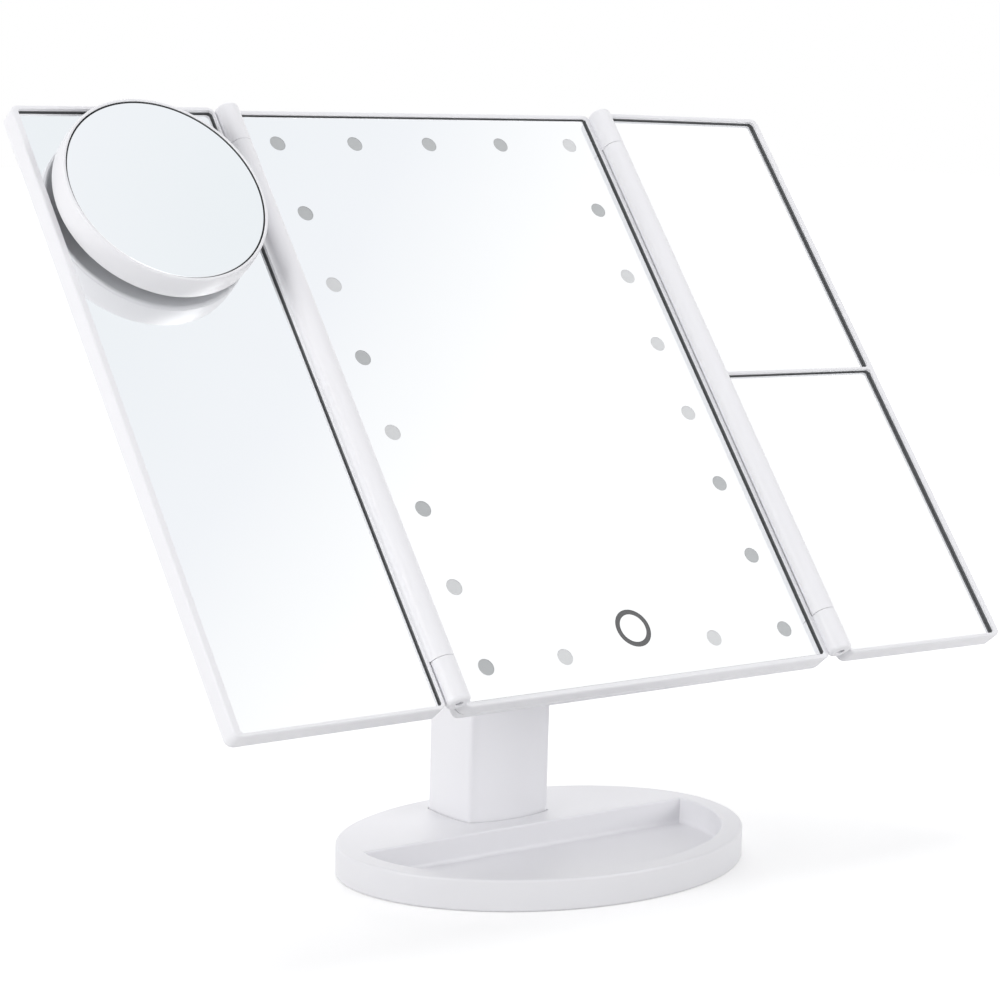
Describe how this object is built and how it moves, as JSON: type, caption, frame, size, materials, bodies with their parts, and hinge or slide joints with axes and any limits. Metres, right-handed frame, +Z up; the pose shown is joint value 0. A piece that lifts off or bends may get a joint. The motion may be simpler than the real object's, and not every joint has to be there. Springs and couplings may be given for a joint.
{
  "type": "trifold vanity mirror",
  "caption": "Tabletop trifold vanity mirror with a lighted centre panel that tilts, folding wings, a round spot mirror, a column and an oval base with a tray.",
  "frame": {"origin": "on the flat underside of the base, on the line where its front and back half ovals meet", "axes": "+Z up, the viewer stands on the -Y side, +X to the viewer's right, along the open wings"},
  "size_m": [0.3467, 0.1652, 0.2752],
  "materials": {
    "white_plastic": "satin white moulded plastic",
    "inner_plastic": "plain light grey moulded plastic",
    "mirror_glass": "silvered flat glass",
    "steel": "plated steel",
    "weight_steel": "plain steel plate",
    "foot_rubber": "matt dark rubber",
    "cup_rubber": "smooth dark grey soft plastic",
    "light_board": "white lacquered board",
    "control_board": "green lacquered board",
    "cell_sleeve": "plain dark sleeve",
    "foam": "grey conductive foam",
    "switch_plastic": "dark grey plastic"
  },
  "bodies": {
    "stand": {"base_shell": "white_plastic", "base_bottom_plate": "inner_plastic", "base_weight": "weight_steel", "base_screw_1": "steel", "base_screw_2": "steel", "base_screw_3": "steel", "base_screw_4": "steel", "foot_front_left": "foot_rubber", "foot_front_right": "foot_rubber", "foot_rear_left": "foot_rubber", "foot_rear_right": "foot_rubber", "column_shell": "white_plastic", "column_screw_left": "steel", "column_screw_right": "steel", "power_inlet": "steel", "battery_holder": "inner_plastic", "battery_left_lower": "cell_sleeve", "battery_left_upper": "cell_sleeve", "battery_right_lower": "cell_sleeve", "battery_right_upper": "cell_sleeve", "battery_contact_top_left": "steel", "battery_contact_top_right": "steel", "battery_contact_bottom": "steel", "tilt_axle": "steel", "tilt_axle_nut": "steel", "friction_washer_left": "steel", "friction_washer_right": "steel", "axle_cap_left": "white_plastic", "axle_cap_right": "white_plastic"},
    "door": {"battery_door": "white_plastic"},
    "head": {"tilt_bracket": "white_plastic", "bracket_screw_1": "steel", "bracket_screw_2": "steel", "bracket_screw_3": "steel", "bracket_screw_4": "steel", "centre_frame": "white_plastic", "centre_glass": "mirror_glass", "led_board": "light_board", "touch_sensor_pad": "foam", "control_board": "control_board", "centre_back_shell": "white_plastic", "hinge_pin_left_bottom": "steel", "hinge_pin_left_top": "steel", "hinge_pin_right_bottom": "steel", "hinge_pin_right_top": "steel"},
    "switch": {"power_switch": "switch_plastic"},
    "right_wing": {"right_wing_frame": "white_plastic", "right_wing_glass_lower": "mirror_glass", "right_wing_glass_upper": "mirror_glass", "right_wing_back_panel": "white_plastic"},
    "left_wing": {"left_wing_frame": "white_plastic", "left_wing_glass": "mirror_glass", "left_wing_back_panel": "white_plastic"},
    "spot_mirror": {"spot_mirror_housing": "white_plastic", "spot_mirror_glass": "mirror_glass", "suction_cup": "cup_rubber"}
  },
  "joints": [
    {"name": "head_tilt", "type": "hinge", "parent": "stand", "child": "head", "pos_m": [0, 0.03095, 0.14945], "axis": [1, 0, 0], "range_deg": [-50, 36]},
    {"name": "right_wing_fold", "type": "hinge", "parent": "head", "child": "right_wing", "pos_m": [0.0868, 0.01032, 0.17657], "axis": [0, -0.6198, -0.7848], "range_deg": [0, 179.7]},
    {"name": "left_wing_fold", "type": "hinge", "parent": "head", "child": "left_wing", "pos_m": [-0.0868, 0.01032, 0.17657], "axis": [0, 0.6198, 0.7848], "range_deg": [0, 111.5]},
    {"name": "spot_mirror_pull", "type": "slide", "parent": "left_wing", "child": "spot_mirror", "axis": [-0.0087, -0.7847, 0.6198], "range_m": [0, 0.008]},
    {"name": "power_switch_slide", "type": "slide", "parent": "head", "child": "switch", "axis": [1, 0, 0], "range_m": [0, 0.0035]},
    {"name": "battery_door_pull", "type": "slide", "parent": "stand", "child": "door", "axis": [0, 1, 0], "range_m": [0, 0.02]}
  ]
}
